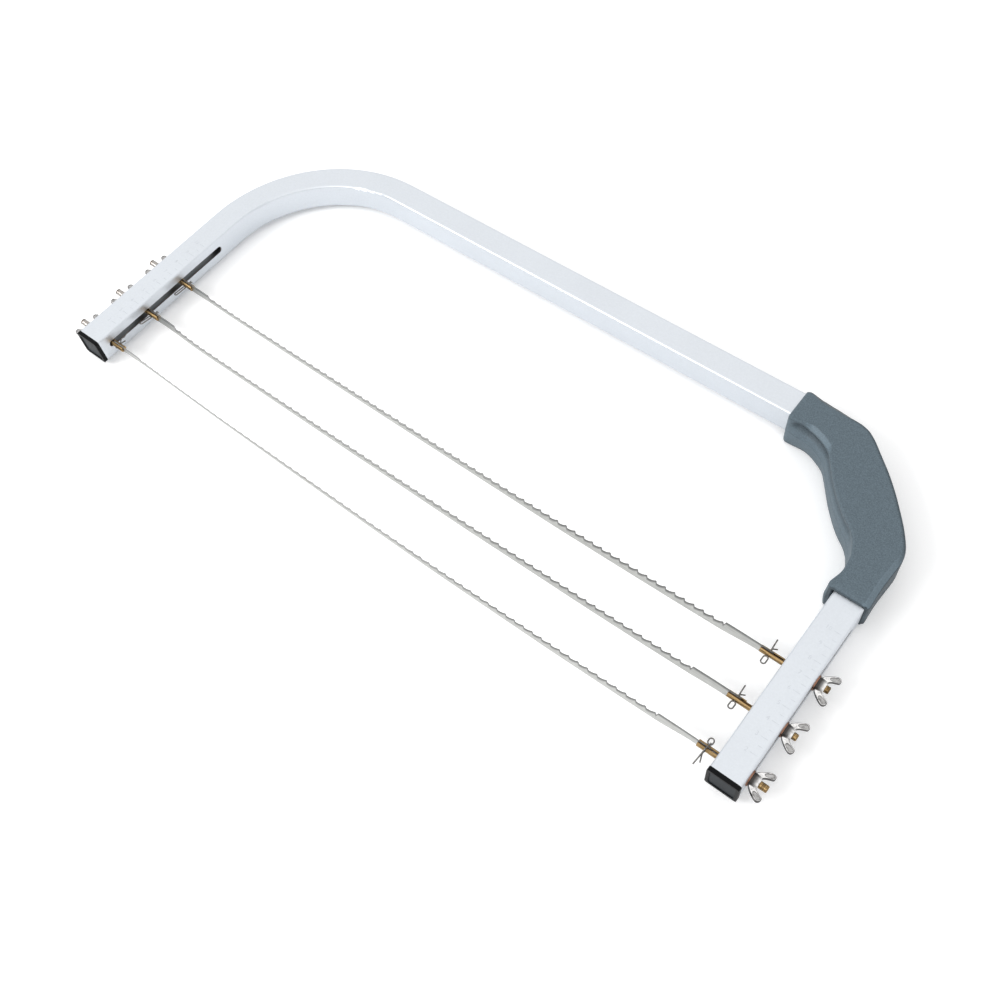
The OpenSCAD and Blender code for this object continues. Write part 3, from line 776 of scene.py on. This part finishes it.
# ------------------------------------------------------------ blades
# one tooth: share of the pitch, share of the depth
TOOTH = ((0.0, 0.0), (0.12, 0.015), (0.22, 0.045), (0.32, 0.11), (0.42, 0.21), (0.51, 0.34), (0.60, 0.48),
         (0.68, 0.66), (0.76, 0.85), (0.80, 0.95), (0.84, 1.0), (0.87, 0.97), (0.90, 0.88), (0.96, 0.35))
# the teeth's pitch, depth, and how far their tips stay under the plain ends' edge
TOOTH_PITCH, TOOTH_DEPTH, TOOTH_DROP = 0.006, 0.0015, 0.0009
# the plain ends from the arms' inner faces, the slant between plain and toothed, and the plain ends' steps
PLAIN_LEFT, PLAIN_RIGHT, TOOTH_LEAD, PLAIN_STEPS = 0.026, 0.037, 0.001, 18
# half of a blade's width and thickness, how far down the grinding reaches, and the strip that shows its line
BLADE_HALF, BLADE_THIN, GROUND, GROUND_LINE = 0.00325, 0.0003, 0.0014, 0.0003
# rounding of the back, the ground hollow's half thickness and place under the edge, and the edge's half
BACK_ROUND, HOLLOW_THIN, HOLLOW_DOWN, EDGE_THIN = 0.0001, 0.0002, 0.0004, 0.00006
# each blade's course: share of its length, lean in degrees, and share of the deepest bow
BLADE_COURSE = {
    1: ((0.045, 4, 0), (0.08, 1, 0.22), (0.11, -1, 0.34), (0.22, 3, 0.47),
        (0.36, 6.5, 0.59), (0.50, 10, 0.67), (0.60, 13, 0.72), (0.69, 20, 0.69),
        (0.78, 22, 0.56), (0.88, 22, 0.36), (0.945, 20, 0.18), (0.965, 8, 0)),
    2: ((0.045, 10, 0), (0.08, 6, 0.36), (0.11, 4, 0.54), (0.22, 4, 0.62),
        (0.36, 8, 0.70), (0.50, 10, 0.75), (0.60, 13.5, 0.75), (0.69, 16, 0.63),
        (0.78, 19, 0.53), (0.88, 18, 0.34), (0.945, 17, 0.14), (0.965, 12, 0)),
    3: ((0.045, -2, 0), (0.08, -6, 0.14), (0.11, -7.5, 0.29), (0.22, -7, 0.66),
        (0.36, 0, 0.85), (0.50, 3, 1.0), (0.60, 8, 1.0), (0.69, 10, 0.91),
        (0.78, 14, 0.73), (0.88, 14, 0.46), (0.945, 13, 0.24), (0.965, 2, 0)),
}
COURSE_SPREAD = 0.005


def course(b, share, column):
    """A blade's lean or bow at a share of its length."""
    return rounded_lookup(BLADE_COURSE[b], share, column, COURSE_SPREAD)


def toothed_edge(x0, x1):
    """Stations along a blade: place along X, and height of the toothed edge over the axis."""
    root = BLADE_HALF - TOOTH_DROP - TOOTH_DEPTH
    end = RIGHT_FACE - TUBE_SIDE - PLAIN_RIGHT
    count = int((end - LEFT_FACE - TUBE_SIDE - PLAIN_LEFT) / TOOTH_PITCH + 1e-6)
    start = end - count * TOOTH_PITCH
    steps = range(PLAIN_STEPS + 1)
    stations = [(x0 + (start - TOOTH_LEAD - x0) * i / PLAIN_STEPS, BLADE_HALF) for i in steps]
    for i in range(count):
        for along, up in TOOTH:
            stations.append((start + (i + along) * TOOTH_PITCH, root + up * TOOTH_DEPTH))
    stations.append((end, root))
    stations += [(end + TOOTH_LEAD + (x1 - end - TOOTH_LEAD) * i / PLAIN_STEPS, BLADE_HALF) for i in steps]
    return stations


def blade_section(top):
    """A blade's (across, up) points from its axis, once round, with its edge at a height."""
    front = [(BLADE_THIN, -BLADE_HALF + BACK_ROUND), (BLADE_THIN, top - GROUND - GROUND_LINE),
             (BLADE_THIN, top - GROUND), (HOLLOW_THIN, top - HOLLOW_DOWN), (EDGE_THIN, top)]
    return [(-BLADE_THIN, -BLADE_HALF + BACK_ROUND), (-BLADE_THIN + BACK_ROUND, -BLADE_HALF),
            (BLADE_THIN - BACK_ROUND, -BLADE_HALF), *front, *((-y, z) for y, z in front[:0:-1])]


def blade_tones(share):
    """Tones of painted shade at a section's points: the edge and the ground line are painted dark. From half
    the length on, the ground side turns dark and its line pale.
    """
    right = min(1.0, max(0.0, (share - 0.5) / 0.2))
    edge, hollow, line = 0.3 - 0.25 * right, 1.0 - 0.7 * right, 0.25 + 0.5 * right
    return [1, 1, 1, 1, 1, line, hollow, edge, edge, hollow, line, 1]


class LEVELER_OT_blades(bpy.types.Operator):
    """Makes the three serrated blades, ground thin along their teeth, a little slack and twisted"""
    bl_idname = "leveler.blades"
    bl_label = "Blades"

    def execute(self, context):
        sizes = context.scene.leveler_sizes
        steel = ground_steel(context.scene.leveler_colours)
        for b in BLADES:
            low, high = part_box(f"blade_{b}")
            rings, tones = [], []
            for x, top in toothed_edge(low.x, high.x):
                share = (x - low.x) / (high.x - low.x)
                slack = -sizes.blade_bow * course(b, share, 2)
                lean = math.radians(course(b, share, 1))
                rings.append([(x, BLADE_LINE[b] + slack + y * math.cos(lean) + z * math.sin(lean),
                               TUBE_MID + z * math.cos(lean) - y * math.sin(lean))
                              for y, z in blade_section(top)])
                tones += blade_tones(share)
            tone(loft(f"serrated_blade_{b}", rings), tones)
            settle(f"serrated_blade_{b}", steel, f"blade_unit_{b}", [f"blade_{b}"])
        return {"FINISHED"}


# ------------------------------------------------------------ studs, washers and nuts
class LEVELER_OT_studs(bpy.types.Operator):
    """Finishes the brass studs and the split pins"""
    bl_idname = "leveler.studs"
    bl_label = "Studs and split pins"

    def execute(self, context):
        colours = context.scene.leveler_colours
        wire = drawn_wire(colours)
        for b in BLADES:
            brass = turned_brass(colours, b)
            for side in SIDES:
                dress(f"stud_{side}_{b}", brass)
                dress(f"cotter_{side}_{b}", wire)
        return {"FINISHED"}


# outlines of a petal and of the panel in it, and the hub's section: distance from the axis and height, in mm
PETAL = ((2.9, 0.5), (3.6, 0.4), (4.6, 0.6), (5.9, 1.7), (7.2, 3.3), (8.5, 5.2), (9.3, 6.8), (9.5, 7.7),
         (9.2, 8.6), (8.2, 9.35), (7.1, 9.5), (6.3, 9.2), (5.7, 8.1), (5.0, 6.5), (4.2, 5.2), (3.5, 4.5),
         (2.9, 4.2))
PANEL = ((5.9, 4.3), (6.9, 4.7), (7.9, 6.2), (8.6, 7.6), (8.0, 8.5), (7.1, 8.7), (6.5, 7.9), (5.9, 6.3))
HUB = ((2.06, 0.0), (3.9, 0.0), (4.05, 0.25), (3.9, 1.3), (3.72, 2.5), (3.5, 3.9), (3.35, 4.35), (3.0, 4.6),
       (2.35, 4.6), (2.06, 4.3))
HUB_STEPS = 48
PETAL_THICK, PANEL_THICK, WASHER_THICK = 1.8, 1.1, 0.8
# the panel's middle, and the size of its floor against its opening: the floor's rim is hidden in the petal
PANEL_MIDDLE, PANEL_SPREAD = Vector((7.2, 0, 6.6)), 1.15
# degrees that the right nuts' petals are turned from level, as in the photograph
NUT_TURN = {("right", 1): -4, ("right", 2): -2, ("right", 3): -14}


def outline_plate(name, outlines, thick, rounding):
    """A flat plate on its edge, in mm: X is its reach and Z its height. Later outlines are openings."""
    curve = bpy.data.curves.new(name, "CURVE")
    curve.dimensions = "2D"
    curve.fill_mode = "BOTH"
    curve.resolution_u = 5
    curve.extrude = thick / 2 - rounding
    curve.bevel_depth = rounding
    curve.bevel_resolution = 2
    curve.offset = -rounding
    for points in outlines:
        spline = curve.splines.new("BEZIER")
        spline.bezier_points.add(len(points) - 1)
        for knot, (x, y) in zip(spline.bezier_points, points):
            knot.co = (x, y, 0)
            knot.handle_left_type = knot.handle_right_type = "AUTO"
        spline.use_cyclic_u = True
    bring_in(name, curve)
    bpy.ops.object.convert(target="MESH")
    plate = bpy.context.object
    plate.data.transform(Matrix.Rotation(math.pi / 2, 4, "X"))
    return plate


def cast_nut(sizes):
    """One wing nut standing on the origin with its stud's axis along Z, in mm."""
    turns = [2 * math.pi * k / HUB_STEPS for k in range(HUB_STEPS)]
    hub = loft("hub", [[(r * math.cos(turn), r * math.sin(turn), z) for r, z in HUB] for turn in turns],
               closed=True)
    # painted shade: dark up to 2 mm over its foot, fully bright from 3.75 mm
    tone(hub, [min(1.0, max(0.02, 0.6 * v.co.z - 1.25)) for v in hub.data.vertices])
    parts = [hub]
    for turn in (90, 270):
        rim = outline_plate("rim", (PETAL, PANEL), PETAL_THICK, sizes.petal_bevel / MM)
        # bright on its two faces, with painted shade round its edges
        tone(rim, [1.0 if abs(v.co.y) > PETAL_THICK / 2 - 0.02 else 0.08 for v in rim.data.vertices])
        floor = outline_plate("floor", (PANEL,), PANEL_THICK, 0.01)
        floor.data.transform(Matrix.Translation(PANEL_MIDDLE) @ Matrix.Scale(PANEL_SPREAD, 4)
                             @ Matrix.Translation(-PANEL_MIDDLE))
        # the recessed panel's floor is painted half in shade
        tone(floor, [0.52] * len(floor.data.vertices))
        for part in (rim, floor):
            part.data.transform(Matrix.Rotation(math.radians(turn), 4, "Z"))
            parts.append(part)
    pick(*parts)
    bpy.ops.object.join()
    bpy.ops.object.shade_smooth_by_angle(angle=math.radians(32))
    return hub


class LEVELER_OT_nuts(bpy.types.Operator):
    """Makes the wing nuts and finishes the washers under them"""
    bl_idname = "leveler.nuts"
    bl_label = "Washers and wing nuts"

    def execute(self, context):
        colours = context.scene.leveler_colours
        nickel = bright_nickel(colours)
        pattern = cast_nut(context.scene.leveler_sizes)
        for b in BLADES:
            steel = washer_steel(colours, b)
            for side in SIDES:
                dress(f"washer_{side}_{b}", steel)
                face, out = (RIGHT_FACE, 1) if side == "right" else (LEFT_FACE, -1)
                foot = (face + out * WASHER_THICK * MM, BLADE_LINE[b], TUBE_MID)
                nut = bring_in("nut", pattern.data.copy())
                nut.matrix_world = (Matrix.Translation(foot) @ Matrix.Rotation(out * math.pi / 2, 4, "Y")
                                    @ Matrix.Rotation(math.radians(NUT_TURN.get((side, b), 0)), 4, "Z")
                                    @ Matrix.Scale(MM, 4))
                settle(f"butterfly_nut_{side}_{b}", nickel, f"nut_body_{side}_{b}",
                       [f"wing_nut_{side}_{b}"])
        bpy.data.objects.remove(pattern)
        return {"FINISHED"}


# ------------------------------------------------------------ stage
# the camera that was fitted to the photograph: focal length and picture width in pixels, sensor width in mm,
# its turn as an axis whose length is the angle, and its place
FOCAL, PICTURE, SENSOR = 1149.343, 1001, 36
CAMERA_TURN = Vector((2.50083325, 0.83938338, -0.3433523))
CAMERA_PLACE = (0.29703, -0.283001, 0.57566)
SOFTBOX_PLACE, SOFTBOX_SIZE, SOFTBOX_POWER = Vector((-0.9, -1.3, 1.3)), 0.9, 18
FLOOR_SIZE, FLOOR_DROP, FLOOR_GLOW = 12, 0.0002, 0.12
WHITE, MIRRORED_WHITE, HORIZON_GREY = (1, 1, 1, 1), (0.88, 0.885, 0.89, 1), (0.5, 0.51, 0.53, 1)


def white_paper():
    """White floor that glows a little to the camera, and is a shade greyer in mirrored light."""
    f = Finish("white_paper")
    f.set(Roughness=1.0, Specular_IOR_Level=0.0, Emission_Color=WHITE)
    rays = f.put("ShaderNodeLightPath").outputs
    f.feed(f.math("MULTIPLY", rays["Is Camera Ray"], FLOOR_GLOW), "Emission Strength")
    f.feed(f.mix(rays["Is Glossy Ray"], WHITE, MIRRORED_WHITE), "Base Color")
    return f.material


def paint_sky(world):
    """A sky that fades from grey at the horizon to white halfway up."""
    world.use_nodes = True
    tree = world.node_tree
    sky = tree.nodes["Background"]
    sky.inputs["Strength"].default_value = 1.0
    ray = tree.nodes.new("ShaderNodeTexCoord")
    parts = tree.nodes.new("ShaderNodeSeparateXYZ")
    fade = tree.nodes.new("ShaderNodeValToRGB")
    low, high = fade.color_ramp.elements
    low.position, low.color = 0.0, HORIZON_GREY
    high.position, high.color = 0.5, WHITE
    tree.links.new(ray.outputs["Generated"], parts.inputs[0])
    tree.links.new(parts.outputs[2], fade.inputs["Fac"])
    tree.links.new(fade.outputs["Color"], sky.inputs["Color"])


def fitted_camera():
    """The camera that was fitted to the photograph."""
    shot = bpy.data.cameras.new("camera")
    shot.sensor_width = SENSOR
    shot.lens = FOCAL * SENSOR / PICTURE
    shot.clip_start, shot.clip_end = 0.05, 30
    camera = bring_in("camera", shot)
    rows = Matrix.Rotation(CAMERA_TURN.length, 3, CAMERA_TURN.normalized())
    axes = Matrix((rows[0], -rows[1], -rows[2])).transposed()
    camera.matrix_world = Matrix.Translation(CAMERA_PLACE) @ axes.to_4x4()
    return camera


class LEVELER_OT_stage(bpy.types.Operator):
    """Sets the floor, the sky, the light and the camera"""
    bl_idname = "leveler.stage"
    bl_label = "Stage"

    def execute(self, context):
        start_clean()
        bpy.ops.mesh.primitive_plane_add(size=FLOOR_SIZE, location=(0, 0, -FLOOR_DROP))
        floor = context.object
        floor.name = "floor"
        floor.data.materials.append(white_paper())

        context.scene.world = context.scene.world or bpy.data.worlds.new("studio")
        paint_sky(context.scene.world)

        bpy.ops.object.light_add(type="AREA", location=SOFTBOX_PLACE)
        lamp = context.object
        lamp.name = "softbox_front_left"
        lamp.data.shape = "SQUARE"
        lamp.data.size = SOFTBOX_SIZE
        lamp.data.energy = SOFTBOX_POWER
        lamp.rotation_euler = (-SOFTBOX_PLACE).to_track_quat("-Z", "Y").to_euler()

        context.scene.camera = fitted_camera()
        context.scene.view_settings.view_transform = "Standard"
        return {"FINISHED"}


# ------------------------------------------------------------ panel and registration
class LEVELER_PT_panel(bpy.types.Panel):
    bl_label = "Cake leveler"
    bl_idname = "LEVELER_PT_panel"
    bl_space_type = "VIEW_3D"
    bl_region_type = "UI"
    bl_category = "Cake Leveler"

    def draw(self, context):
        for group in (context.scene.leveler_sizes, context.scene.leveler_colours):
            for key in group.__annotations__:
                self.layout.prop(group, key)
        for operator in OPERATORS:
            self.layout.operator(operator.bl_idname)


OPERATORS = (LEVELER_OT_tube, LEVELER_OT_scale, LEVELER_OT_caps, LEVELER_OT_grip, LEVELER_OT_blades,
             LEVELER_OT_studs, LEVELER_OT_nuts, LEVELER_OT_stage)
CLASSES = (LevelerSizes, LevelerColours, *OPERATORS, LEVELER_PT_panel)


def register():
    for cls in CLASSES:
        bpy.utils.register_class(cls)
    bpy.types.Scene.leveler_sizes = PointerProperty(type=LevelerSizes)
    bpy.types.Scene.leveler_colours = PointerProperty(type=LevelerColours)


def unregister():
    del bpy.types.Scene.leveler_colours
    del bpy.types.Scene.leveler_sizes
    for cls in reversed(CLASSES):
        bpy.utils.unregister_class(cls)


def build():
    register()
    for item in list(bpy.data.objects):
        if item.type in {"LIGHT", "CAMERA"} or item.name == "Cube":
            bpy.data.objects.remove(item)
    bpy.ops.leveler.tube()
    bpy.ops.leveler.scale()
    bpy.ops.leveler.caps()
    bpy.ops.leveler.grip()
    bpy.ops.leveler.blades()
    bpy.ops.leveler.studs()
    bpy.ops.leveler.nuts()
    bpy.ops.leveler.stage()


if __name__ == "__main__":
    build()
